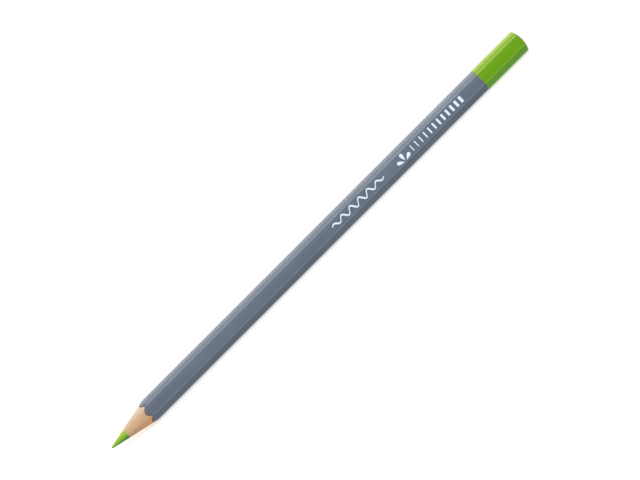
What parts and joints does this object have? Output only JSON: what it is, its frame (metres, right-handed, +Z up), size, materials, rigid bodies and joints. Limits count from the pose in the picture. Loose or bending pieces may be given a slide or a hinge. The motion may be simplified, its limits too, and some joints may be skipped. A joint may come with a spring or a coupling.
{
  "type": "coloured pencil",
  "caption": "Hexagonal wood-cased colour pencil with a sharpened wooden cone, a pigment core, a slate lacquered barrel and a green dipped end cap, for drawing and colouring.",
  "frame": {"origin": "under the middle of the pencil's length and width, on the surface that it lies on", "axes": "+X along the pencil from the sharpened tip to the dipped end, +Z up out of the flat that it lies on, Y across two opposite corners of the hexagon"},
  "size_m": [0.175, 0.0078, 0.007],
  "materials": {
    "pigment": "satin",
    "wood": "matte",
    "glue": "matte",
    "primer": "matte",
    "lacquer": "satin",
    "cap_paint": "gloss",
    "ink": "satin"
  },
  "bodies": {
    "root": {"pigment_core": "pigment", "slat_upper": "wood", "slat_lower": "wood", "glue_line_front": "glue", "glue_line_back": "glue", "primer_coat": "primer", "lacquer_coat": "lacquer", "dip_cap": "cap_paint", "print_wave": "ink", "print_drop_left": "ink", "print_drop_middle": "ink", "print_drop_right": "ink", "print_bar_01": "ink", "print_bar_02": "ink", "print_bar_03": "ink", "print_bar_04": "ink", "print_bar_05": "ink", "print_bar_06": "ink", "print_bar_07": "ink", "print_bar_08": "ink", "print_bar_09": "ink", "print_bar_10": "ink", "print_bar_11": "ink", "print_bar_12": "ink"}
  },
  "joints": []
}
